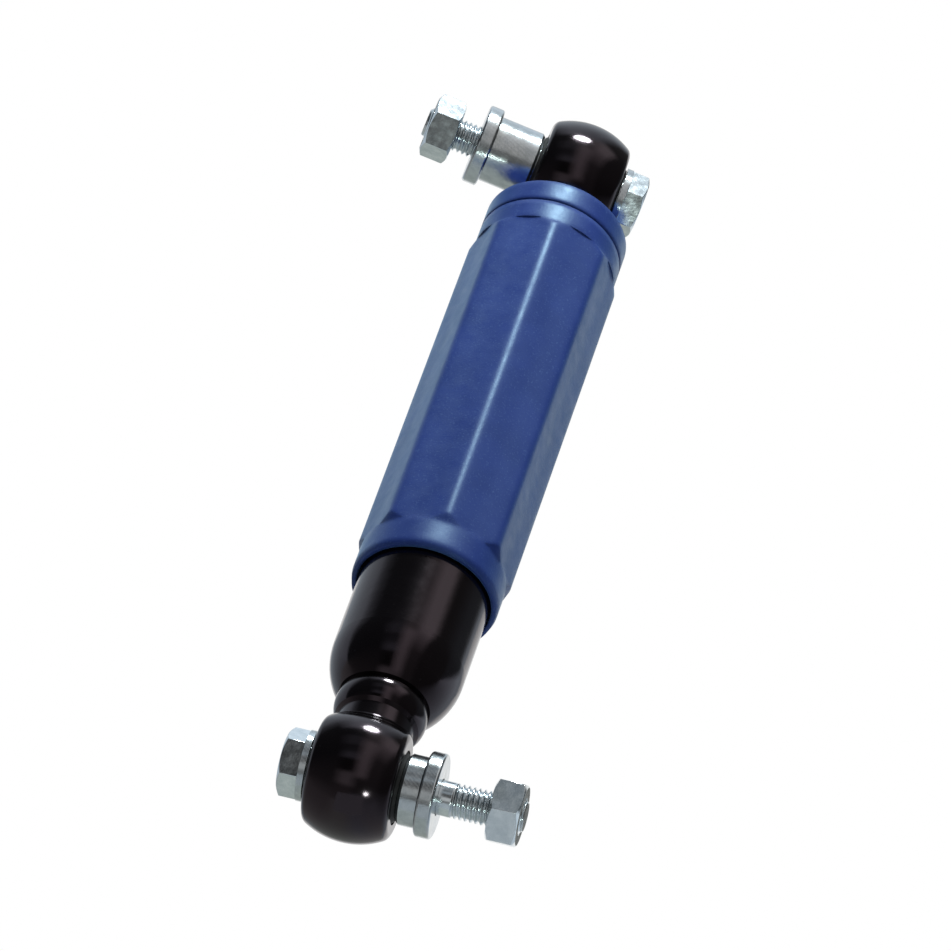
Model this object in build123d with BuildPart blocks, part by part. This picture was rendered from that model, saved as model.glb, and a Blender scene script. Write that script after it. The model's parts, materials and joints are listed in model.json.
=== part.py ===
"""Trailer shock absorber: a twin-tube hydraulic damper with an eye at each end.

Millimetres. The origin is the centre of the lower eye, +Z runs along the damper to the
upper eye, and +X runs along the lower bolt from its head to its nut.
"""

import math
import os

from build123d import *

# Stance: how far the damper is drawn out, and how its ends are turned
eye_distance = 245.0
upper_bolt_turn = 193.7
cover_turn = 7.0

# Eyes
eye_diameter = 36.4
eye_width = 24.5
eye_crown_length = 40.4
eye_edge_radius = 2.8
eye_bore = 21.0
eye_neck_diameter = 22.0

# Rolled collar between the lower eye and the reservoir tube's base
collar_edge = 0.6
collar_swell = 2.1
collar_groove = 0.9
collar_rise = 1.0

# Rubber bushes and the steel sleeves in them
bush_lip = 0.7
bush_lip_diameter = 19.6
sleeve_stand_out = 0.95
sleeve_diameter = 14.0
sleeve_bore = 10.3

# Bolts, nuts and washers
bolt_diameter = 9.9
bolt_length = 62.7
bolt_point = 1.0
hex_flats = 17.0
hex_face_share = 0.96
hex_cone_angle = 30.0
head_height = 5.8
nut_height = 8.6
nut_bore = 10.0
washer_diameter = 20.0
washer_thickness = 1.8
head_gap = 0.02
lower_nut_gap = 14.8
upper_nut_gap = 6.4
lower_head_turn = 28.5
lower_nut_turn = 8.2
upper_head_turn = 53.0
upper_nut_turn = 9.2

# Flanged spacers between the eyes and the brackets
spacer_diameter = 20.0
spacer_bore = 10.5
flange_diameter = 24.0
flange_thickness = 4.6
flange_rounding = 0.8
lower_spacer_length = 10.2
upper_spacer_length = 18.4

# Reservoir tube
tube_diameter = 38.0
tube_wall = 1.5
tube_base = 28.0
tube_top = 188.0
dome_height = 15.4
base_diameter = 26.4
base_thickness = 2.0
rim_lip = 3.5
rim_thickness = 1.5

# Pressure tube and its base valve
pressure_bore = 25.0
pressure_wall = 1.5
pressure_foot = 38.0
valve_flange_thickness = 2.0
valve_spigot = 4.0
valve_skirt_bore = 17.0
valve_pin_diameter = 3.8
valve_pin_head = 8.0
valve_pin_head_height = 1.4
valve_passages = 6
valve_passage_diameter = 2.4
valve_passage_circle = 15.0
skirt_port = 4.0

# Shims and springs of both valves
shim_thickness = 0.8
shim_diameter = 20.0
shim_bore = 9.0
wave_spring_thickness = 1.0
wave_spring_diameter = 12.0

# Rod guide and seal
guide_spigot = 4.0
guide_thickness = 8.5
guide_bush_wall = 1.2
seal_thickness = 5.0

# Piston rod and piston
rod_diameter = 12.0
rod_tenon = 8.0
rod_top_tenon = 10.0
piston_height = 11.0
piston_gap = 0.1
piston_ring_height = 5.0
piston_ring_depth = 1.4
piston_passages = 6
piston_passage_diameter = 2.6
piston_passage_circle = 16.0
piston_nut_flats = 13.0
piston_nut_height = 6.0
compression_travel = 20.0
compression_reserve = 2.5
stop_offset = 2.5
stop_collar_height = 3.0
stop_collar_diameter = 18.0
stop_rubber_height = 6.0
stop_rubber_diameter = 19.0

# Dust cover with its cap and the steel plate that carries them
cover_clearance = 0.6
collar_wall = 1.75
corner_height = 1.3
cover_corner_rounding = 3.0
cover_start = 70.4
cover_end = 213.8
lower_collar_height = 10.4
upper_collar_height = 7.2
corner_slope = 2.6
mouth_chamfer = 0.5
mouth_chamfer_height = 1.8
cap_height = 8.7
cap_groove = 0.7
cap_groove_depth = 0.6
cap_edge = 0.5
cap_roof = 2.2
plate_thickness = 2.5
plate_gap = 0.2
cover_lip = 2.2

# Running clearance between pieces that move on each other
running_gap = 0.05

# Sizes that follow from the ones above
eye_radius = eye_diameter / 2
tube_radius = tube_diameter / 2
tube_bore_radius = tube_radius - tube_wall
pressure_radius = pressure_bore / 2
rod_radius = rod_diameter / 2
sleeve_length = eye_width + 2 * sleeve_stand_out
washer_seat = sleeve_length / 2 + washer_thickness
head_seat = washer_seat + head_gap
guide_seat = tube_top - rim_thickness - seal_thickness - guide_thickness
valve_floor = tube_base + base_thickness
valve_top = pressure_foot + valve_flange_thickness + valve_spigot
valve_head_top = valve_top + shim_thickness + wave_spring_thickness + valve_pin_head_height
piston_nut_foot = valve_head_top + compression_reserve + compression_travel
piston_foot = piston_nut_foot + piston_nut_height + shim_thickness
piston_top = piston_foot + piston_height
rod_shoulder = piston_top + shim_thickness + wave_spring_thickness
stop_foot = rod_shoulder + stop_offset
cover_bore = tube_diameter + 2 * cover_clearance
collar_diameter = cover_bore + 2 * collar_wall
cover_across_corners = collar_diameter + 2 * corner_height
plate_top = cover_end - cover_lip
plate_foot = plate_top - plate_thickness
cap_foot = cover_end
cap_top = cover_end + cap_height

lower_centre = Vector(0, 0, 0)
upper_centre = Vector(0, 0, eye_distance)
lower_direction = Vector(1, 0, 0)
upper_direction = Vector(1, 0, 0).rotate(Axis.Z, upper_bolt_turn)


def finish(piece, name):
    """Label a finished piece and write it to its own file."""
    piece.part.label = name
    export_step(piece.part, f"parts/{name}.step")


def across(centre, direction, distance):
    """Plane square to a bolt, at a distance from its eye's centre, with local X pointing up."""
    return Plane(origin=centre + direction * distance, x_dir=(0, 0, 1), z_dir=direction)


def along(centre, direction):
    """Upright plane that holds a bolt's axis, with local X along the bolt and local Y up."""
    return Plane(origin=centre, x_dir=direction, z_dir=direction.cross(Vector(0, 0, 1)))


def ring(plane, length, outer_radius, inner_radius):
    """Plain ring that stands on a plane."""
    with BuildPart() as piece:
        with BuildSketch(plane):
            Circle(outer_radius)
            Circle(inner_radius, mode=Mode.SUBTRACT)
        extrude(amount=length)
    return piece


def upright_ring(foot, top, outer_radius, inner_radius):
    """Plain ring on the damper's axis."""
    return ring(Plane.XY.offset(foot), top - foot, outer_radius, inner_radius)


def chamfered_hexagon(plane, flats, height, turn, both_ends):
    """Hexagon with its corners turned off in a shallow cone, as on a bolt head or a nut."""
    corner_radius = flats / math.sqrt(3)
    face_radius = flats / 2 * hex_face_share
    corner_drop = (corner_radius - face_radius) * math.tan(math.radians(hex_cone_angle))
    foot_points = [(face_radius, 0), (corner_radius, corner_drop)] if both_ends else [(corner_radius, 0)]
    with BuildPart() as hexagon:
        with BuildSketch(plane):
            RegularPolygon(corner_radius, 6, rotation=turn)
        extrude(amount=height)
        with BuildSketch(Plane(origin=plane.origin, x_dir=plane.x_dir, z_dir=-plane.y_dir)):
            with BuildLine():
                Polyline((0, 0), *foot_points, (corner_radius, height - corner_drop), (face_radius, height),
                         (0, height), close=True)
            make_face()
        revolve(axis=Axis(plane.origin, plane.z_dir), mode=Mode.INTERSECT)
    return hexagon.part


def make_eye(centre, direction, neck_end):
    """Barrel-shaped eye on its neck, bored for the bush."""
    half_width = eye_width / 2
    crown_start = math.degrees(math.acos(eye_width / eye_crown_length))
    neck_radius = eye_neck_diameter / 2
    upward = neck_end > centre.Z
    neck_foot = min(neck_end, centre.Z)
    neck_length = abs(neck_end - centre.Z)
    with BuildPart() as eye:
        with BuildSketch(along(centre, direction)):
            with BuildLine():
                crown = EllipticalCenterArc((0, 0), eye_crown_length / 2, eye_radius, crown_start,
                                            arc_size=180 - 2 * crown_start)
                Polyline(crown @ 1, (-half_width, 0), (half_width, 0), crown @ 0)
            make_face()
        revolve(axis=Axis(centre, direction))
        fillet(eye.edges().filter_by(GeomType.CIRCLE), eye_edge_radius)
        with BuildSketch(Plane.XY.offset(neck_foot)):
            Circle(neck_radius)
        extrude(amount=neck_length)
        if upward:
            with BuildSketch(Plane.XZ):
                with BuildLine():
                    seat_radius = base_diameter / 2 - collar_groove
                    collar_foot = eye_radius + collar_groove
                    collar_top = tube_base - collar_groove
                    swell_foot = (neck_radius + collar_rise, collar_foot + collar_rise)
                    swell_middle = (neck_radius + collar_swell, (collar_foot + collar_top) / 2)
                    swell_top = (seat_radius + collar_edge, collar_top - collar_edge)
                    Polyline((0, collar_foot), (neck_radius, collar_foot), swell_foot)
                    ThreePointArc(swell_foot, swell_middle, swell_top)
                    Polyline(swell_top, (seat_radius, collar_top), (seat_radius, tube_base), (0, tube_base),
                             (0, collar_foot))
                make_face()
            revolve(axis=Axis.Z)
        with BuildSketch(across(centre, direction, -half_width)):
            Circle(eye_bore / 2)
        extrude(amount=eye_width, mode=Mode.SUBTRACT)
    return eye


def make_bush(centre, direction):
    """Rubber bush that fills the eye's bore, with a thin lip standing out at each face."""
    half_width = eye_width / 2
    lip_end = half_width + bush_lip
    bore_radius = sleeve_diameter / 2 + running_gap
    lip_radius = bush_lip_diameter / 2
    with BuildPart() as bush:
        with BuildSketch(along(centre, direction)):
            with BuildLine():
                Polyline((-lip_end, bore_radius), (lip_end, bore_radius), (lip_end, lip_radius - bush_lip),
                         (lip_end - bush_lip, lip_radius), (half_width - bush_lip, eye_bore / 2),
                         (-half_width + bush_lip, eye_bore / 2), (-lip_end + bush_lip, lip_radius),
                         (-lip_end, lip_radius - bush_lip), close=True)
            make_face()
        revolve(axis=Axis(centre, direction))
    return bush


def make_spacer(centre, direction, length):
    """Turned spacer: a sleeve against the eye and a flange against the bracket."""
    start = sleeve_length / 2
    end = start + length
    with BuildPart() as spacer:
        with BuildSketch(across(centre, direction, start)):
            Circle(spacer_diameter / 2)
        extrude(amount=length - flange_thickness)
        chamfer(spacer.faces().sort_by(Axis(centre, direction))[0].edges(), length=flange_rounding)
        with BuildSketch(across(centre, direction, end - flange_thickness)):
            Circle(flange_diameter / 2)
        extrude(amount=flange_thickness)
        flange_rims = spacer.edges().filter_by(GeomType.CIRCLE)
        fillet(flange_rims.group_by(SortBy.RADIUS)[-1], flange_rounding)
        with BuildSketch(across(centre, direction, start)):
            Circle(spacer_bore / 2)
        extrude(amount=length, mode=Mode.SUBTRACT)
    return spacer


def make_bolt(centre, direction, head_turn):
    """Hexagon bolt with its head on the far side of the eye."""
    with BuildPart() as bolt:
        add(chamfered_hexagon(across(centre, -direction, head_seat), hex_flats, head_height, head_turn, False))
        with BuildSketch(across(centre, direction, -head_seat)):
            Circle(bolt_diameter / 2)
        extrude(amount=bolt_length)
        chamfer(bolt.faces().sort_by(Axis(centre, direction))[-1].edges(), length=bolt_point)
    return bolt


def make_nut(centre, direction, start, turn):
    """Hexagon nut with both ends chamfered."""
    with BuildPart() as nut:
        add(chamfered_hexagon(across(centre, direction, start), hex_flats, nut_height, turn, True))
        with BuildSketch(across(centre, direction, start)):
            Circle(nut_bore / 2)
        extrude(amount=nut_height, mode=Mode.SUBTRACT)
    return nut


os.makedirs("parts", exist_ok=True)

# Eyes: the lower one on the reservoir tube's base, the upper one on the rod's end
lower_eye = make_eye(lower_centre, lower_direction, tube_base)
finish(lower_eye, "lower_eye")

with BuildPart() as upper_eye:
    add(make_eye(upper_centre, upper_direction, plate_top).part)
    with BuildSketch(Plane.XY.offset(plate_top)):
        Circle(rod_top_tenon / 2)
    extrude(amount=cap_top - plate_top, mode=Mode.SUBTRACT)
finish(upper_eye, "upper_eye")

# Bolt sets: both eyes carry the same bolt, washer, sleeve and nut, and differ in the spacer
stations = {
    "lower": (lower_centre, lower_direction, lower_spacer_length, lower_nut_gap, lower_head_turn, lower_nut_turn),
    "upper": (upper_centre, upper_direction, upper_spacer_length, upper_nut_gap, upper_head_turn, upper_nut_turn),
}
for station, (centre, direction, spacer_length, nut_gap, head_turn, nut_turn) in stations.items():
    half_sleeve = sleeve_length / 2
    nut_start = half_sleeve + spacer_length + nut_gap
    sleeve = ring(across(centre, direction, -half_sleeve), sleeve_length, sleeve_diameter / 2, sleeve_bore / 2)
    washer = ring(across(centre, direction, -washer_seat), washer_thickness, washer_diameter / 2, spacer_bore / 2)
    finish(make_bush(centre, direction), f"{station}_bush")
    finish(sleeve, f"{station}_bush_sleeve")
    finish(washer, f"{station}_washer")
    finish(make_spacer(centre, direction, spacer_length), f"{station}_spacer")
    finish(make_bolt(centre, direction, head_turn), f"{station}_bolt")
    finish(make_nut(centre, direction, nut_start, nut_turn), f"{station}_nut")

# Reservoir tube: domed and closed below, rolled in over the seal above
with BuildPart() as reservoir_tube:
    with BuildSketch(Plane.XZ):
        with BuildLine():
            base_radius = base_diameter / 2
            dome_top = tube_base + dome_height
            inner_base_radius = base_radius - tube_wall
            lip_foot = tube_top - rim_thickness
            Line((0, tube_base), (base_radius, tube_base))
            TangentArc((tube_radius, dome_top), (base_radius, tube_base), tangent=(0, -1))
            Polyline((tube_radius, dome_top), (tube_radius, tube_top - rim_thickness),
                     (tube_radius - rim_thickness, tube_top), (tube_bore_radius - rim_lip, tube_top),
                     (tube_bore_radius - rim_lip, lip_foot), (tube_bore_radius, lip_foot), (tube_bore_radius, dome_top))
            TangentArc((tube_bore_radius, dome_top), (inner_base_radius, valve_floor), tangent=(0, -1))
            Polyline((inner_base_radius, valve_floor), (0, valve_floor), (0, tube_base))
        make_face()
    revolve(axis=Axis.Z)
finish(reservoir_tube, "reservoir_tube")

# Pressure tube stands on the base valve and is closed above by the rod guide
pressure_tube_foot = pressure_foot + valve_flange_thickness
pressure_tube = upright_ring(pressure_tube_foot, guide_seat, pressure_radius + pressure_wall, pressure_radius)
finish(pressure_tube, "pressure_tube")

# Base valve: a ported skirt on the reservoir's floor, a flange under the pressure tube and a spigot in it
with BuildPart() as base_valve_body:
    skirt_radius = valve_skirt_bore / 2 + pressure_wall
    with BuildSketch(Plane.XY.offset(valve_floor)):
        Circle(skirt_radius)
        Circle(valve_skirt_bore / 2, mode=Mode.SUBTRACT)
    extrude(amount=pressure_foot - valve_floor)
    with BuildSketch(Plane.XY.offset(valve_floor)):
        Rectangle(2 * skirt_radius, skirt_port)
        Rectangle(skirt_port, 2 * skirt_radius)
    extrude(amount=(pressure_foot - valve_floor) / 2, mode=Mode.SUBTRACT)
    with BuildSketch(Plane.XY.offset(pressure_foot)):
        Circle(pressure_radius + pressure_wall)
    extrude(amount=valve_flange_thickness)
    with BuildSketch(Plane.XY.offset(pressure_tube_foot)):
        Circle(pressure_radius)
    extrude(amount=valve_spigot)
    with BuildSketch(Plane.XY.offset(pressure_foot)):
        Circle(valve_pin_diameter / 2)
        with PolarLocations(valve_passage_circle / 2, valve_passages):
            Circle(valve_passage_diameter / 2)
    extrude(amount=valve_flange_thickness + valve_spigot, mode=Mode.SUBTRACT)
finish(base_valve_body, "base_valve_body")

base_valve_disc = upright_ring(valve_top, valve_top + shim_thickness, shim_diameter / 2, shim_bore / 2)
finish(base_valve_disc, "base_valve_disc")

spring_foot = valve_top + shim_thickness
base_valve_spring = upright_ring(spring_foot, spring_foot + wave_spring_thickness, wave_spring_diameter / 2,
                                 valve_pin_diameter / 2)
finish(base_valve_spring, "base_valve_spring")

with BuildPart() as base_valve_pin:
    with BuildSketch(Plane.XY.offset(pressure_foot - valve_pin_head_height)):
        Circle(valve_pin_head / 2)
    extrude(amount=valve_pin_head_height)
    with BuildSketch(Plane.XY.offset(pressure_foot)):
        Circle(valve_pin_diameter / 2)
    extrude(amount=valve_head_top - pressure_foot)
    with BuildSketch(Plane.XY.offset(valve_head_top - valve_pin_head_height)):
        Circle(valve_pin_head / 2)
    extrude(amount=valve_pin_head_height)
finish(base_valve_pin, "base_valve_pin")

# Rod guide, its bush and the seal, stacked under the reservoir tube's rolled rim
guide_bush_bore_radius = rod_radius + running_gap
guide_bush_radius = guide_bush_bore_radius + guide_bush_wall
seal_seat = guide_seat + guide_thickness
with BuildPart() as rod_guide:
    with BuildSketch(Plane.XY.offset(guide_seat - guide_spigot)):
        Circle(pressure_radius)
    extrude(amount=guide_spigot)
    with BuildSketch(Plane.XY.offset(guide_seat)):
        Circle(tube_bore_radius)
    extrude(amount=guide_thickness)
    with BuildSketch(Plane.XY.offset(guide_seat - guide_spigot)):
        Circle(guide_bush_radius)
    extrude(amount=guide_spigot + guide_thickness, mode=Mode.SUBTRACT)
finish(rod_guide, "rod_guide")

guide_bush = upright_ring(guide_seat - guide_spigot, seal_seat, guide_bush_radius, guide_bush_bore_radius)
finish(guide_bush, "guide_bush")

rod_seal = upright_ring(seal_seat, seal_seat + seal_thickness, tube_bore_radius, rod_radius + running_gap)
finish(rod_seal, "rod_seal")

# Piston rod: a tenon for the piston below and a tenon for the eye above
with BuildPart() as piston_rod:
    with BuildSketch(Plane.XY.offset(piston_nut_foot)):
        Circle(rod_tenon / 2)
    extrude(amount=rod_shoulder - piston_nut_foot)
    with BuildSketch(Plane.XY.offset(rod_shoulder)):
        Circle(rod_radius)
    extrude(amount=plate_foot - rod_shoulder)
    with BuildSketch(Plane.XY.offset(plate_foot)):
        Circle(rod_top_tenon / 2)
    extrude(amount=cap_top - plate_foot)
finish(piston_rod, "piston_rod")

# Piston with through passages and a groove for its ring
piston_radius = pressure_radius - piston_gap
ring_foot = piston_foot + (piston_height - piston_ring_height) / 2
ring_inner_radius = pressure_radius - running_gap - piston_ring_depth
with BuildPart() as piston:
    with BuildSketch(Plane.XY.offset(piston_foot)):
        Circle(piston_radius)
        Circle(rod_tenon / 2, mode=Mode.SUBTRACT)
        with PolarLocations(piston_passage_circle / 2, piston_passages):
            Circle(piston_passage_diameter / 2, mode=Mode.SUBTRACT)
    extrude(amount=piston_height)
    with BuildSketch(Plane.XY.offset(ring_foot - running_gap)):
        Circle(pressure_radius)
        Circle(ring_inner_radius - running_gap, mode=Mode.SUBTRACT)
    extrude(amount=piston_ring_height + 2 * running_gap, mode=Mode.SUBTRACT)
finish(piston, "piston")

piston_ring = upright_ring(ring_foot, ring_foot + piston_ring_height, pressure_radius - running_gap, ring_inner_radius)
finish(piston_ring, "piston_ring")

rebound_foot = piston_foot - shim_thickness
rebound_disc = upright_ring(rebound_foot, piston_foot, shim_diameter / 2, rod_tenon / 2)
finish(rebound_disc, "rebound_disc")

check_disc = upright_ring(piston_top, piston_top + shim_thickness, shim_diameter / 2, rod_tenon / 2)
finish(check_disc, "check_disc")

check_spring = upright_ring(piston_top + shim_thickness, rod_shoulder, wave_spring_diameter / 2, rod_tenon / 2)
finish(check_spring, "check_spring")

with BuildPart() as piston_nut:
    add(chamfered_hexagon(Plane.XY.offset(piston_nut_foot), piston_nut_flats, piston_nut_height, 0, True))
    with BuildSketch(Plane.XY.offset(piston_nut_foot)):
        Circle(rod_tenon / 2)
    extrude(amount=piston_nut_height, mode=Mode.SUBTRACT)
finish(piston_nut, "piston_nut")

# Rebound stop: a steel collar on the rod and the rubber ring that it carries
stop_collar_top = stop_foot + stop_collar_height
stop_collar = upright_ring(stop_foot, stop_collar_top, stop_collar_diameter / 2, rod_radius)
finish(stop_collar, "stop_collar")
stop_rubber = upright_ring(stop_collar_top, stop_collar_top + stop_rubber_height, stop_rubber_diameter / 2, rod_radius)
finish(stop_rubber, "stop_rubber")

# Steel plate on the rod's shoulder that carries the dust cover
plate_radius = cover_bore / 2 - plate_gap
cover_plate = upright_ring(plate_foot, plate_top, plate_radius, rod_top_tenon / 2)
finish(cover_plate, "cover_plate")

# Dust cover: an octagonal tube whose corners run out in cones onto a round collar at each end
with BuildPart() as dust_cover:
    corner_radius = cover_across_corners / 2
    collar_radius = collar_diameter / 2
    octagon_foot = cover_start + lower_collar_height
    octagon_top = cover_end - upper_collar_height
    with BuildSketch(Plane.XY.offset(octagon_foot)):
        RegularPolygon(corner_radius, 8, rotation=cover_turn)
    extrude(amount=octagon_top - octagon_foot)
    fillet(dust_cover.edges().filter_by(Axis.Z), cover_corner_rounding)
    with BuildSketch(Plane.XZ):
        with BuildLine():
            Polyline((0, octagon_foot), (collar_radius, octagon_foot), (corner_radius, octagon_foot + corner_slope),
                     (corner_radius, octagon_top - corner_slope), (collar_radius, octagon_top), (0, octagon_top),
                     close=True)
        make_face()
    revolve(axis=Axis.Z, mode=Mode.INTERSECT)
    with BuildSketch(Plane.XZ):
        with BuildLine():
            Polyline((0, cover_start), (collar_radius - mouth_chamfer, cover_start),
                     (collar_radius, cover_start + mouth_chamfer_height), (collar_radius, octagon_foot),
                     (0, octagon_foot), close=True)
        make_face()
        with BuildLine():
            Polyline((0, octagon_top), (collar_radius, octagon_top), (collar_radius, cover_end), (0, cover_end),
                     close=True)
        make_face()
    revolve(axis=Axis.Z)
    with BuildSketch(Plane.XY.offset(cover_start)):
        Circle(cover_bore / 2)
    extrude(amount=plate_top - cover_start, mode=Mode.SUBTRACT)
    with BuildSketch(Plane.XY.offset(plate_top)):
        Circle(cover_bore / 2 - cover_lip)
    extrude(amount=cover_lip, mode=Mode.SUBTRACT)
finish(dust_cover, "dust_cover")

# Cap above the parting groove, closed round the eye's neck
with BuildPart() as cover_cap:
    with BuildSketch(Plane.XZ):
        with BuildLine():
            neck_gap_radius = eye_neck_diameter / 2 + running_gap
            cap_wall_radius = cover_bore / 2 - cover_lip
            Polyline((cap_wall_radius, cap_foot), (collar_radius - cap_groove_depth, cap_foot),
                     (collar_radius - cap_groove_depth, cap_foot + cap_groove), (collar_radius, cap_foot + cap_groove),
                     (collar_radius, cap_top - cap_edge), (collar_radius - cap_edge, cap_top),
                     (neck_gap_radius, cap_top), (neck_gap_radius, cap_top - cap_roof),
                     (cap_wall_radius, cap_top - cap_roof), close=True)
        make_face()
    revolve(axis=Axis.Z)
finish(cover_cap, "cover_cap")
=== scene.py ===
"""Studio picture of a telescopic trailer damper, drawn out, with an eye and a bolt set at each end.

Metres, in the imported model's own frame: the origin is the centre of the lower eye, +Z runs
along the damper to the upper eye, and +X runs along the lower bolt from its head to its nut.
"""

import json
import math

import bpy
import numpy as np
from mathutils import Matrix, Vector


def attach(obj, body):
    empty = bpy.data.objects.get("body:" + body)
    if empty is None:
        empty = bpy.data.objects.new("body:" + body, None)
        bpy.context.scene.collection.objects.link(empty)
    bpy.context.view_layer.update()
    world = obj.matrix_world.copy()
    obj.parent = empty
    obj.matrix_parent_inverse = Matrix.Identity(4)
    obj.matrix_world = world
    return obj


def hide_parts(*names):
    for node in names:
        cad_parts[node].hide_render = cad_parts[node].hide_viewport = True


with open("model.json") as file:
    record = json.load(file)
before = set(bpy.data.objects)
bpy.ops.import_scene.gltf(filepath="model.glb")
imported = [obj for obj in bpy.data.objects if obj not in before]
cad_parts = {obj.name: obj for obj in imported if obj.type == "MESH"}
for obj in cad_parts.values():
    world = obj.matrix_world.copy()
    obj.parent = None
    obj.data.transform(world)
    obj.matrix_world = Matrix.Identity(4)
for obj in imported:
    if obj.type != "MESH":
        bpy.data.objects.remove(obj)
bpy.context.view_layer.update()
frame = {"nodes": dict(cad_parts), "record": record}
nodes = frame["nodes"]

# Stance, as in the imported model
EYE_DISTANCE = 0.245
LOWER_AXIS = np.array([1.0, 0.0, 0.0])
UPPER_TURN = math.radians(193.7)
UPPER_AXIS = np.array([math.cos(UPPER_TURN), math.sin(UPPER_TURN), 0.0])
LOWER_CENTRE = np.array([0.0, 0.0, 0.0])
UPPER_CENTRE = np.array([0.0, 0.0, EYE_DISTANCE])

# Bolt and nut
HEX_FLATS = 0.017
HEX_FACE_SHARE = 0.96
HEX_CONE = math.radians(30)
HEAD_HEIGHT = 0.0058
NUT_HEIGHT = 0.0086
HEAD_SEAT = 0.01502
BOLT_END = 0.04768
BOLT_RADIUS = 0.00495
SHANK_RADIUS = 0.0049
THREAD_ROOT = 0.00415
THREAD_START = 0.0272
THREAD_RUN_OUT = 0.0012
BOLT_POINT = 0.001
PITCH = 0.0015
LOWER_NUT_START = 0.0382
UPPER_NUT_START = 0.038
NUT_THREAD_CREST = 0.00425
NUT_THREAD_ROOT = 0.00505
NUT_COUNTERSINK = 0.0053
CORNERS = 6
STEPS_PER_FLAT = 12
STEPS_PER_PITCH = 14
THREAD_ROOT_SHARE = 0.12
THREAD_FLANK_SHARE = 0.74
PLAIN_RINGS = 6
PLAIN_GAP = 0.0001

# Dish in the head's face
DISH_RIM_SHARE = 0.96
DISH_FLOOR_SHARE = 0.93
DISH_MIDDLE_SHARE = 0.02
DISH_DEPTH = 0.00012

# Edges: where shading breaks, and how far corners are worn
HEX_SHARP = math.radians(20)
THREAD_SHARP = math.radians(40)
WORN_WIDTH = 0.00018
WORN_SEGMENTS = 2
WORN_FROM = math.radians(25)
END_FACING = 0.95

# Corners of the moulding that read softer than they are cut
SOFT_CORNER = 0.003
SOFT_CORNER_SAMPLES = 8


# Surfaces

def axes_of(centre, direction):
    """Right-handed triad on a bolt: across, up and along, with up on +Z."""
    up = np.array([0.0, 0.0, 1.0])
    across = np.cross(up, direction)
    return np.asarray(centre), across, up, np.asarray(direction)


def ring_points(triad, radius, angle, along):
    """Point at a radius, turned by an angle from up about the bolt's axis, at a distance along it."""
    centre, across, up, direction = triad
    radius, angle, along = np.broadcast_arrays(radius, angle, along)
    side = np.cross(direction, up)
    turned = np.cos(angle)[..., None] * up + np.sin(angle)[..., None] * side
    return centre + radius[..., None] * turned + along[..., None] * direction


def grid_piece(name, points, close_start, close_end, sharp_angle):
    """Quads over a grid of closed rings, with a flat cap on the first and last ring where asked."""
    rings, around, _ = points.shape
    vertices = points.reshape(-1, 3)
    row = np.arange(rings - 1)[:, None]
    column = np.arange(around)[None, :]
    follower = (column + 1) % around
    quads = np.stack([row * around + column, row * around + follower,
                      (row + 1) * around + follower, (row + 1) * around + column], axis=-1).reshape(-1, 4)
    faces = quads.tolist()
    if close_start:
        faces.append(list(range(around))[::-1])
    if close_end:
        faces.append([(rings - 1) * around + step for step in range(around)])
    mesh = bpy.data.meshes.new(name)
    mesh.from_pydata(vertices.tolist(), [], faces)
    mesh.update()
    mesh.polygons.foreach_set("use_smooth", np.ones(len(mesh.polygons), dtype=bool))
    mesh.set_sharp_from_angle(angle=sharp_angle)
    piece = bpy.data.objects.new(name, mesh)
    bpy.context.collection.objects.link(piece)
    return piece


def hexagon_radius(angle, flats, turn):
    """Distance from the axis to a hexagon's side: half its flats over the cosine of the turn from the
    nearest flat."""
    sector = math.tau / CORNERS
    from_flat = (angle - turn) % sector - sector / 2
    return flats / 2 / np.cos(from_flat)


def hexagon_angles(turn):
    """Angles round a hexagon that fall on each of its corners."""
    return turn + np.arange(CORNERS * STEPS_PER_FLAT) * math.tau / (CORNERS * STEPS_PER_FLAT)


def thread_depth(along, angle, pitch):
    """Share of the thread's height at a point: a triangle wave with flat crests and flat roots, which
    moves along by one pitch in each turn."""
    phase = (along / pitch - angle / math.tau) % 1.0
    triangle = 1.0 - np.abs(2.0 * phase - 1.0)
    return np.clip((triangle - THREAD_ROOT_SHARE) / THREAD_FLANK_SHARE, 0.0, 1.0)


def bolt_head(name, triad, turn):
    """Hexagon head: side walls up to a 30 degree cone, and a slightly dished face."""
    angle = hexagon_angles(turn)[None, :]
    corner = hexagon_radius(angle, HEX_FLATS, turn)
    face = HEX_FLATS / 2 * HEX_FACE_SHARE
    top = HEAD_SEAT + HEAD_HEIGHT
    wall_top = top - (corner - face) * math.tan(HEX_CONE)
    rows = [
        (SHANK_RADIUS, HEAD_SEAT), (face, HEAD_SEAT), (corner, HEAD_SEAT), (corner, wall_top), (face, top),
        (face * DISH_RIM_SHARE, top), (face * DISH_FLOOR_SHARE, top - DISH_DEPTH),
        (face * DISH_MIDDLE_SHARE, top - DISH_DEPTH),
    ]
    points = np.concatenate([ring_points(triad, radius, angle, -along) for radius, along in rows])
    return grid_piece(name, points[:, ::-1], False, True, HEX_SHARP)


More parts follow.
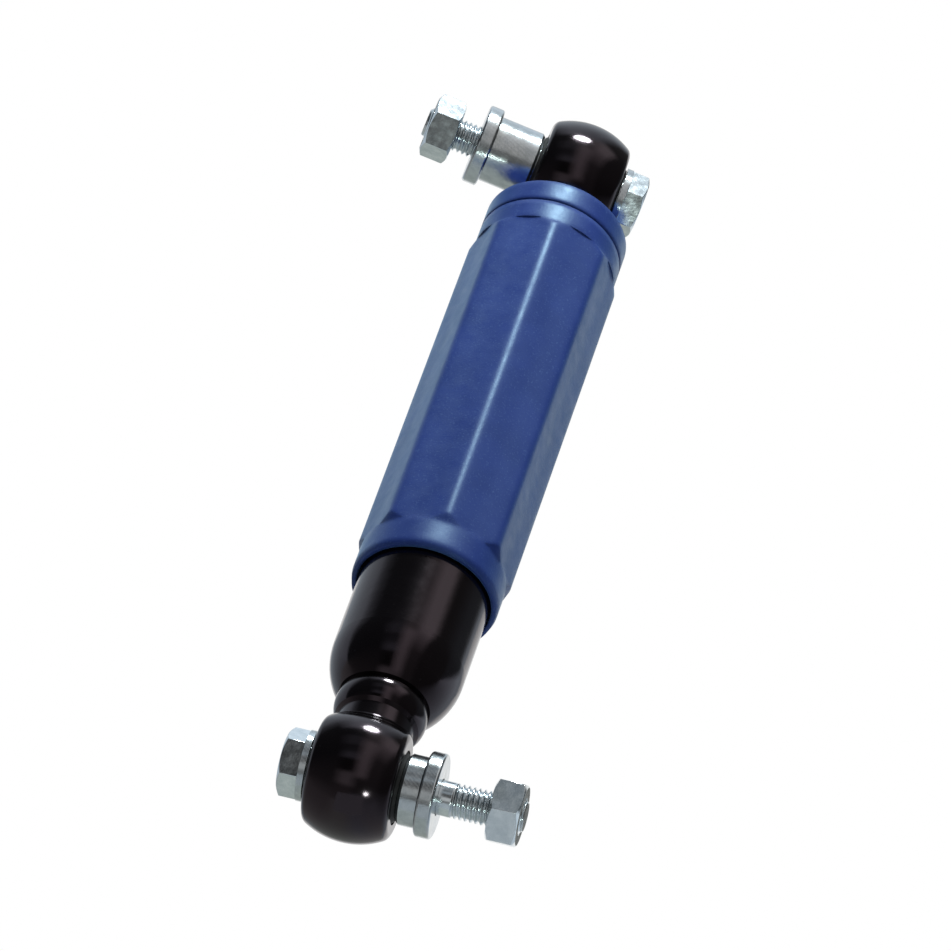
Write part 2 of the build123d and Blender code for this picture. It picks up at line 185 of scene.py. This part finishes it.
def bolt_shank(name, triad):
    """Plain shank that runs out into a rolled thread and a chamfered point; the radius is the root plus the
    thread's share of its height, faded in over the run-out."""
    around = CORNERS * STEPS_PER_FLAT
    angle = (np.arange(around) * math.tau / around)[None, :]
    steps = int(round((BOLT_END - THREAD_START) / PITCH * STEPS_PER_PITCH))
    along = np.linspace(THREAD_START, BOLT_END, steps)[:, None]
    crest = np.minimum(BOLT_RADIUS, BOLT_RADIUS - BOLT_POINT + (BOLT_END - along))
    fade = np.clip((along - THREAD_START) / THREAD_RUN_OUT, 0.0, 1.0)
    share = thread_depth(along, angle, PITCH)
    cut = THREAD_ROOT + (crest - THREAD_ROOT) * share
    radius = SHANK_RADIUS * (1 - fade) + np.minimum(cut, crest) * fade
    plain = np.linspace(-HEAD_SEAT, THREAD_START - PLAIN_GAP, PLAIN_RINGS)[:, None]
    plain_radius = np.full((PLAIN_RINGS, around), SHANK_RADIUS)
    everything = np.concatenate([ring_points(triad, plain_radius, angle, plain),
                                 ring_points(triad, radius, angle, along)])
    return grid_piece(name, everything, True, True, THREAD_SHARP)


def hexagon_nut(name, triad, start, turn):
    """Nut: a hexagon with a cone at both ends, a countersink at both ends of its bore, and a thread in the
    bore in step with the bolt's."""
    angle = hexagon_angles(turn)[None, :]
    corner = hexagon_radius(angle, HEX_FLATS, turn)
    face = HEX_FLATS / 2 * HEX_FACE_SHARE
    drop = (corner - face) * math.tan(HEX_CONE)
    end = start + NUT_HEIGHT
    sink = NUT_COUNTERSINK - NUT_THREAD_CREST
    outer = [
        (NUT_COUNTERSINK, start), (face, start), (corner, start + drop), (corner, end - drop), (face, end),
        (NUT_COUNTERSINK, end),
    ]
    steps = int(round((NUT_HEIGHT - 2 * sink) / PITCH * STEPS_PER_PITCH))
    along = np.linspace(end - sink, start + sink, steps)[:, None]
    share = thread_depth(along, angle, PITCH)
    bore = NUT_THREAD_CREST + (NUT_THREAD_ROOT - NUT_THREAD_CREST) * share
    rows = [ring_points(triad, radius, angle, place) for radius, place in outer]
    rows.append(ring_points(triad, bore, angle, along))
    rows.append(rows[0])
    return grid_piece(name, np.concatenate(rows), False, False, HEX_SHARP)


# Materials

def new_material(name):
    """Empty material with its shader and output."""
    material = bpy.data.materials.new(name)
    material.use_nodes = True
    tree = material.node_tree
    tree.nodes.clear()
    output = tree.nodes.new("ShaderNodeOutputMaterial")
    shader = tree.nodes.new("ShaderNodeBsdfPrincipled")
    tree.links.new(shader.outputs["BSDF"], output.inputs["Surface"])
    return material, tree, shader


def place_of(tree):
    """Place on the piece, in its own metres."""
    return tree.nodes.new("ShaderNodeTexCoord").outputs["Object"]


def noise(tree, place, scale, detail=4.0, roughness=0.5):
    """Noise value at a place."""
    node = tree.nodes.new("ShaderNodeTexNoise")
    node.inputs["Scale"].default_value = scale
    node.inputs["Detail"].default_value = detail
    node.inputs["Roughness"].default_value = roughness
    tree.links.new(place, node.inputs["Vector"])
    return node.outputs["Fac"]


def remap(tree, value, low, high, to_low, to_high):
    """Value carried from one range to another and held in it."""
    node = tree.nodes.new("ShaderNodeMapRange")
    node.inputs["From Min"].default_value = low
    node.inputs["From Max"].default_value = high
    node.inputs["To Min"].default_value = to_low
    node.inputs["To Max"].default_value = to_high
    tree.links.new(value, node.inputs["Value"])
    return node.outputs["Result"]


def blend_colours(tree, share, first, second):
    """Colour between two, each a plain colour or a socket."""
    node = tree.nodes.new("ShaderNodeMix")
    node.data_type = "RGBA"
    tree.links.new(share, node.inputs["Factor"])
    for socket, colour in (("A", first), ("B", second)):
        target = [item for item in node.inputs if item.name == socket and item.type == "RGBA"][0]
        if isinstance(colour, tuple):
            target.default_value = (*colour, 1.0)
        else:
            tree.links.new(colour, target)
    return [item for item in node.outputs if item.type == "RGBA"][0]


def bump(tree, height, distance, strength, under=None):
    """Normal raised by a height, on top of another normal where one is given."""
    node = tree.nodes.new("ShaderNodeBump")
    node.inputs["Distance"].default_value = distance
    node.inputs["Strength"].default_value = strength
    tree.links.new(height, node.inputs["Height"])
    if under is not None:
        tree.links.new(under, node.inputs["Normal"])
    return node.outputs["Normal"]


def moulded_blue():
    """Satin blue moulding: a faint mottle, fine pale specks, soft corners, a grained skin, slight waves and
    a pale sheen."""
    material, tree, shader = new_material("moulded_blue")
    place = place_of(tree)
    mottle = remap(tree, noise(tree, place, 90.0, 3.0), 0.35, 0.65, 0.0, 1.0)
    ground = blend_colours(tree, mottle, (0.013, 0.029, 0.195), (0.018, 0.037, 0.225))
    specks = remap(tree, noise(tree, place, 1400.0, 2.0, 0.7), 0.58, 0.74, 0.0, 0.6)
    colour = blend_colours(tree, specks, ground, (0.06, 0.11, 0.32))
    tree.links.new(colour, shader.inputs["Base Color"])
    satin = remap(tree, noise(tree, place, 260.0, 4.0), 0.3, 0.7, 0.36, 0.46)
    tree.links.new(satin, shader.inputs["Roughness"])
    rounded = tree.nodes.new("ShaderNodeBevel")
    rounded.samples = SOFT_CORNER_SAMPLES
    rounded.inputs["Radius"].default_value = SOFT_CORNER
    grain = bump(tree, noise(tree, place, 1500.0, 3.0, 0.6), 0.0001, 0.35, rounded.outputs["Normal"])
    waves = bump(tree, noise(tree, place, 60.0, 1.0), 0.0006, 0.15, grain)
    tree.links.new(waves, shader.inputs["Normal"])
    shader.inputs["Specular IOR Level"].default_value = 0.55
    shader.inputs["Specular Tint"].default_value = (0.48, 0.82, 1.0, 1.0)
    shader.inputs["Sheen Weight"].default_value = 0.2
    shader.inputs["Sheen Roughness"].default_value = 0.45
    shader.inputs["Sheen Tint"].default_value = (0.35, 0.75, 1.0, 1.0)
    return material


def gloss_black():
    """Black stoving paint: deep gloss, a slight orange peel and a little dust."""
    material, tree, shader = new_material("gloss_black")
    place = place_of(tree)
    dust = remap(tree, noise(tree, place, 900.0, 3.0, 0.7), 0.66, 0.78, 0.0, 0.5)
    colour = blend_colours(tree, dust, (0.0018, 0.0015, 0.0017), (0.03, 0.028, 0.032))
    tree.links.new(colour, shader.inputs["Base Color"])
    gloss = remap(tree, noise(tree, place, 130.0, 4.0), 0.3, 0.7, 0.09, 0.15)
    tree.links.new(gloss, shader.inputs["Roughness"])
    peel = bump(tree, noise(tree, place, 330.0, 2.0), 0.00025, 0.10)
    tree.links.new(peel, shader.inputs["Normal"])
    shader.inputs["Specular Tint"].default_value = (1.0, 0.78, 0.9, 1.0)
    return material


def zinc_plate(name, dark, pale, gloss, turned_axis=None):
    """Bright zinc plate: bluish silver with grey and straw patches, fine scratches and, on turned pieces,
    rings square to their axis."""
    material, tree, shader = new_material(name)
    place = place_of(tree)
    patches = remap(tree, noise(tree, place, 300.0, 5.0, 0.65), 0.35, 0.68, 0.0, 1.0)
    silver = blend_colours(tree, patches, dark, pale)
    straw = remap(tree, noise(tree, place, 70.0, 2.0), 0.55, 0.75, 0.0, 0.25)
    colour = blend_colours(tree, straw, silver, (0.52, 0.52, 0.42))
    tree.links.new(colour, shader.inputs["Base Color"])
    shader.inputs["Metallic"].default_value = 1.0
    shine = remap(tree, noise(tree, place, 420.0, 4.0), 0.3, 0.7, *gloss)
    tree.links.new(shine, shader.inputs["Roughness"])
    grain = bump(tree, noise(tree, place, 1300.0, 3.0), 0.0001, 0.22)
    if turned_axis is not None:
        wave = tree.nodes.new("ShaderNodeTexWave")
        wave.wave_type = "BANDS"
        wave.bands_direction = turned_axis
        wave.inputs["Scale"].default_value = 900.0
        wave.inputs["Distortion"].default_value = 1.2
        tree.links.new(place, wave.inputs["Vector"])
        grain = bump(tree, wave.outputs["Fac"], 0.0001, 0.12, grain)
    tree.links.new(grain, shader.inputs["Normal"])
    return material


def plain_finish(name, colour, roughness, metallic=1.0):
    """Plain metal, plastic or rubber with a fine mottle, for the inner pieces and for the painted shade on
    the end faces of the bolts and nuts.
    """
    material, tree, shader = new_material(name)
    place = place_of(tree)
    mottle = remap(tree, noise(tree, place, 300.0, 4.0), 0.35, 0.65, 0.0, 1.0)
    darker = tuple(channel * 0.8 for channel in colour)
    tree.links.new(blend_colours(tree, mottle, darker, colour), shader.inputs["Base Color"])
    shader.inputs["Metallic"].default_value = metallic
    tree.links.new(remap(tree, noise(tree, place, 500.0), 0.3, 0.7, roughness * 0.8, roughness * 1.2),
                   shader.inputs["Roughness"])
    tree.links.new(bump(tree, noise(tree, place, 1500.0), 0.0001, 0.15), shader.inputs["Normal"])
    return material


def black_rubber():
    """Moulded rubber: matt, slightly bloomed."""
    material, tree, shader = new_material("black_rubber")
    place = place_of(tree)
    bloom = remap(tree, noise(tree, place, 220.0, 4.0), 0.4, 0.7, 0.0, 1.0)
    colour = blend_colours(tree, bloom, (0.012, 0.012, 0.012), (0.03, 0.03, 0.03))
    tree.links.new(colour, shader.inputs["Base Color"])
    tree.links.new(remap(tree, noise(tree, place, 400.0), 0.3, 0.7, 0.6, 0.75), shader.inputs["Roughness"])
    tree.links.new(bump(tree, noise(tree, place, 1500.0), 0.0001, 0.3), shader.inputs["Normal"])
    return material


finishes = {
    "painted_black": gloss_black(),
    "moulded_blue": moulded_blue(),
    "zinc_plate": zinc_plate("zinc_plate", (0.46, 0.50, 0.52), (0.60, 0.64, 0.66), (0.15, 0.24), "X"),
    "bare_steel": plain_finish("bare_steel", (0.45, 0.46, 0.47), 0.35),
    "chromed_rod": plain_finish("chromed_rod", (0.78, 0.79, 0.8), 0.08),
    "sintered_iron": plain_finish("sintered_iron", (0.16, 0.16, 0.165), 0.55),
    "spring_steel": plain_finish("spring_steel", (0.3, 0.3, 0.32), 0.3),
    "bearing_bronze": plain_finish("bearing_bronze", (0.42, 0.27, 0.12), 0.35),
    "filled_ptfe": plain_finish("filled_ptfe", (0.03, 0.06, 0.045), 0.6, 0.0),
    "bush_rubber": black_rubber(),
    "seal_rubber": plain_finish("seal_rubber", (0.02, 0.02, 0.024), 0.55, 0.0),
}
hex_zinc = zinc_plate("hex_zinc", (0.60, 0.66, 0.69), (0.78, 0.83, 0.85), (0.14, 0.24))
# Dark matte olive for the end faces of the bolts and nuts: painted shade, not a finish of their own
painted_shade_end = plain_finish("painted_shade_end", (0.20, 0.205, 0.175), 0.58, 0.0)

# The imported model's own pieces take these finishes
for entry in frame["record"]["subparts"]:
    node = nodes[entry["node"]]
    node.data.materials.clear()
    node.data.materials.append(finishes[entry["material_slot"]])

# Bolts and nuts with real threads stand for the plain ones
stations = (
    ("lower", LOWER_CENTRE, LOWER_AXIS, LOWER_NUT_START, 28.5, 8.2),
    ("upper", UPPER_CENTRE, UPPER_AXIS, UPPER_NUT_START, 53.0, 9.2),
)
for station, centre, direction, nut_start, head_turn, nut_turn in stations:
    triad = axes_of(centre, direction)
    head = bolt_head(f"{station}_bolt_head", triad, -math.radians(head_turn))
    shank = bolt_shank(f"{station}_bolt_shank", triad)
    nut = hexagon_nut(f"{station}_hex_nut", triad, nut_start, math.radians(nut_turn))
    for piece in (head, shank):
        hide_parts(f"{station}_bolt")
        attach(piece, f"{station}_bolt")
    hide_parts(f"{station}_nut")
    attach(nut, f"{station}_nut")
    for piece in (head, nut):
        edge = piece.modifiers.new("worn_edges", "BEVEL")
        edge.width = WORN_WIDTH
        edge.segments = WORN_SEGMENTS
        edge.limit_method = "ANGLE"
        edge.angle_limit = WORN_FROM
    for piece in (head, shank, nut):
        piece.data.materials.append(hex_zinc)
    # Faces that point along the bolt, the shank's end and the nut's outer end, take the painted shade
    for piece in (shank, nut):
        piece.data.materials.append(painted_shade_end)
        for polygon in piece.data.polygons:
            polygon.material_index = int(polygon.normal.dot(Vector(direction)) > END_FACING)

# Camera: below the damper and in front of it, rolled so that the damper leans to the right
VIEW_AZIMUTH = math.radians(10.49)
VIEW_ELEVATION = math.radians(-42.57)
VIEW_ROLL = math.radians(20.03)
VIEW_DISTANCE = 2.0
VIEW_TARGET = Vector((0.00190, 0.00129, 0.12130))
IMAGE_SIZE = 951
FOCAL_PIXELS = 7014
SENSOR = 36.0
NEAREST_SEEN = 0.1
FARTHEST_SEEN = 50.0

back = Vector((math.sin(VIEW_AZIMUTH) * math.cos(VIEW_ELEVATION),
               -math.cos(VIEW_AZIMUTH) * math.cos(VIEW_ELEVATION), math.sin(VIEW_ELEVATION)))
level = Vector((0, 0, 1)).cross(back).normalized()
upright = back.cross(level)
right = level * math.cos(VIEW_ROLL) + upright * math.sin(VIEW_ROLL)
up = upright * math.cos(VIEW_ROLL) - level * math.sin(VIEW_ROLL)
camera_data = bpy.data.cameras.new("camera")
camera_data.sensor_width = SENSOR
camera_data.lens = FOCAL_PIXELS * SENSOR / IMAGE_SIZE
camera_data.clip_start = NEAREST_SEEN
camera_data.clip_end = FARTHEST_SEEN
camera = bpy.data.objects.new("camera", camera_data)
camera.matrix_world = Matrix((
    (right.x, up.x, back.x, 0), (right.y, up.y, back.y, 0), (right.z, up.z, back.z, 0), (0, 0, 0, 1),
))
camera.location = VIEW_TARGET + back * VIEW_DISTANCE
bpy.context.collection.objects.link(camera)
bpy.context.scene.camera = camera


def soft_light(name, place, width, height, power, colour=(1, 1, 1)):
    """Round-edged lamp at a place, facing the damper's middle."""
    data = bpy.data.lights.new(name, "AREA")
    data.shape = "ELLIPSE"
    data.size = width
    data.size_y = height
    data.energy = power
    data.color = colour
    lamp = bpy.data.objects.new(name, data)
    lamp.location = place
    lamp.rotation_mode = "QUATERNION"
    lamp.rotation_quaternion = (Vector(place) - Vector((0, 0, EYE_DISTANCE / 2))).to_track_quat("Z", "Y")
    bpy.context.collection.objects.link(lamp)


soft_light("overhead_box", (0.0, -0.44, 0.70), 0.20, 0.15, 5.2, (0.90, 0.98, 1.0))
soft_light("low_lamp", (0.32, -0.33, -0.74), 0.10, 0.10, 1.2, (0.85, 1.0, 0.92))

# Pale floor, far enough below to leave room for the camera, which sees most of it as white
FLOOR_LEVEL = -1.8
FLOOR_HALF = 0.6
FLOOR_WHITE_SHARE = 0.8
floor_mesh = bpy.data.meshes.new("floor")
floor_mesh.from_pydata([(-FLOOR_HALF, -FLOOR_HALF, FLOOR_LEVEL), (FLOOR_HALF, -FLOOR_HALF, FLOOR_LEVEL),
                        (FLOOR_HALF, FLOOR_HALF, FLOOR_LEVEL), (-FLOOR_HALF, FLOOR_HALF, FLOOR_LEVEL)], [],
                       [(0, 1, 2, 3)])
floor = bpy.data.objects.new("floor", floor_mesh)
bpy.context.collection.objects.link(floor)
floor_material, floor_tree, floor_shader = new_material("pale_floor")
floor_shader.inputs["Base Color"].default_value = (0.9, 0.9, 0.9, 1.0)
floor_shader.inputs["Roughness"].default_value = 0.9
floor_white = floor_tree.nodes.new("ShaderNodeEmission")
floor_path = floor_tree.nodes.new("ShaderNodeLightPath")
floor_mixer = floor_tree.nodes.new("ShaderNodeMixShader")
floor_share = remap(floor_tree, floor_path.outputs["Is Camera Ray"], 0.0, 1.0, 0.0, FLOOR_WHITE_SHARE)
floor_tree.links.new(floor_share, floor_mixer.inputs["Fac"])
floor_tree.links.new(floor_shader.outputs["BSDF"], floor_mixer.inputs[1])
floor_tree.links.new(floor_white.outputs["Emission"], floor_mixer.inputs[2])
floor_tree.links.new(floor_mixer.outputs["Shader"], floor_tree.nodes["Material Output"].inputs["Surface"])
floor_mesh.materials.append(floor_material)

# World: a white backdrop behind the damper, and a room of soft boxes and dark cards round it

def sums(operation, first, second):
    """Result of a sum on two values, each a plain number or a socket, in the world's tree."""
    node = sky.nodes.new("ShaderNodeMath")
    node.operation = operation
    for socket, number in zip(node.inputs, (first, second)):
        if isinstance(number, float):
            socket.default_value = number
        else:
            sky.links.new(number, socket)
    return node.outputs["Value"]


def panorama(stops):
    """Colours of the room by tilt: 0 degrees is straight ahead of the damper's front, 90 is up, 180 is
    behind. Each stop is a tilt, a brightness and a tint."""
    ramp = sky.nodes.new("ShaderNodeValToRGB")
    marks = ramp.color_ramp.elements
    for index, (degrees, level, tint) in enumerate(stops):
        position = (degrees + 180) / 360
        mark = marks[index] if index < 2 else marks.new(position)
        mark.position = position
        mark.color = (*(level * channel for channel in tint), 1.0)
    sky.links.new(turn, ramp.inputs["Fac"])
    return ramp.outputs["Color"]


def between(value, low, high, edge):
    """1 where a value lies between two limits, with a soft edge inside them."""
    rise = remap(sky, value, low, low + edge, 0.0, 1.0)
    fall = remap(sky, value, high - edge, high, 1.0, 0.0)
    return sums("MULTIPLY", rise, fall)


world = bpy.data.worlds.new("studio")
bpy.context.scene.world = world
world.use_nodes = True
sky = world.node_tree
sky.nodes.clear()
heading = sky.nodes.new("ShaderNodeSeparateXYZ")
sky.links.new(sky.nodes.new("ShaderNodeTexCoord").outputs["Generated"], heading.inputs["Vector"])
sideways = heading.outputs["X"]
tilt = sums("ARCTAN2", heading.outputs["Z"], sums("MULTIPLY", heading.outputs["Y"], -1.0))
turn = remap(sky, tilt, -math.pi, math.pi, 0.0, 1.0)

# Part of the room that metal and paint mirror as white: a stretch of tilt, and a half width sideways
BACKDROP_LOW = math.radians(116)
BACKDROP_HIGH = math.radians(168)
BACKDROP_TILT_EDGE = math.radians(6)
BACKDROP_HALF = 0.49
BACKDROP_SIDE_EDGE = 0.04

# Tints and stops of the room
PLAIN = (1.0, 1.0, 1.0)
COOL = (0.86, 0.97, 1.08)
GREENISH = (0.95, 1.03, 0.98)
WARM = (1.02, 0.99, 0.99)
middle = panorama((
    (-180, 0.42, GREENISH), (-90, 0.48, GREENISH), (-84, 0.17, WARM), (-60, 0.17, WARM), (-53, 0.55, PLAIN),
    (-37, 0.50, PLAIN), (-30, 0.03, PLAIN), (-11, 0.03, PLAIN), (-7, 0.35, COOL), (-1, 0.30, COOL),
    (5, 0.12, COOL), (14, 0.08, COOL), (21, 0.22, COOL), (33, 0.20, COOL), (39, 0.06, COOL), (50, 0.06, COOL),
    (58, 0.85, COOL), (96, 0.95, COOL), (130, 0.50, PLAIN), (180, 0.42, GREENISH),
))
right_front = panorama((
    (-180, 0.50, PLAIN), (-142, 0.45, COOL), (-74, 0.45, COOL), (-66, 0.10, PLAIN), (-44, 0.10, PLAIN),
    (-34, 0.65, WARM), (26, 0.80, WARM), (36, 0.30, WARM), (52, 0.42, WARM), (60, 0.60, COOL),
    (100, 0.80, COOL), (140, 0.62, GREENISH), (180, 0.50, PLAIN),
))
warm_box = panorama((
    (-180, 0.50, PLAIN), (-90, 0.40, COOL), (-60, 0.10, PLAIN), (0, 0.15, WARM), (28, 0.60, WARM),
    (42, 0.95, WARM), (56, 0.85, WARM), (68, 0.10, PLAIN), (118, 0.10, PLAIN), (128, 0.60, COOL),
    (180, 0.55, COOL),
))
far_right = panorama((
    (-180, 0.60, COOL), (-100, 0.30, COOL), (-60, 0.06, PLAIN), (0, 0.08, PLAIN), (72, 0.07, PLAIN),
    (100, 0.12, COOL), (127, 0.10, COOL), (138, 0.90, COOL), (180, 0.60, COOL),
))
far_left = panorama((
    (-180, 0.40, PLAIN), (-90, 0.30, PLAIN), (-60, 0.12, PLAIN), (0, 0.05, COOL), (58, 0.05, COOL),
    (72, 0.25, COOL), (86, 0.60, COOL), (126, 0.62, COOL), (180, 0.45, COOL),
))

# Each panorama takes over from the one before it between two places sideways
view = middle
for side, start, full in (
    (right_front, -0.10, 0.12), (warm_box, 0.20, 0.40), (far_right, 0.56, 0.68), (far_left, -0.26, -0.50),
):
    view = blend_colours(sky, remap(sky, sideways, start, full, 0.0, 1.0), view, side)
room = sky.nodes.new("ShaderNodeBackground")
sky.links.new(view, room.inputs["Color"])

white = sky.nodes.new("ShaderNodeBackground")
white.inputs["Color"].default_value = (1, 1, 1, 1)
white.inputs["Strength"].default_value = 1.0
path = sky.nodes.new("ShaderNodeLightPath")
backdrop = sums("MULTIPLY", between(tilt, BACKDROP_LOW, BACKDROP_HIGH, BACKDROP_TILT_EDGE),
                between(sideways, -BACKDROP_HALF, BACKDROP_HALF, BACKDROP_SIDE_EDGE))
seen = sums("MAXIMUM", path.outputs["Is Camera Ray"], path.outputs["Is Transmission Ray"])
seen = sums("MAXIMUM", seen, sums("MULTIPLY", path.outputs["Is Glossy Ray"], backdrop))
mixer = sky.nodes.new("ShaderNodeMixShader")
world_output = sky.nodes.new("ShaderNodeOutputWorld")
sky.links.new(seen, mixer.inputs["Fac"])
sky.links.new(room.outputs["Background"], mixer.inputs[1])
sky.links.new(white.outputs["Background"], mixer.inputs[2])
sky.links.new(mixer.outputs["Shader"], world_output.inputs["Surface"])

bpy.context.scene.view_settings.view_transform = "Standard"
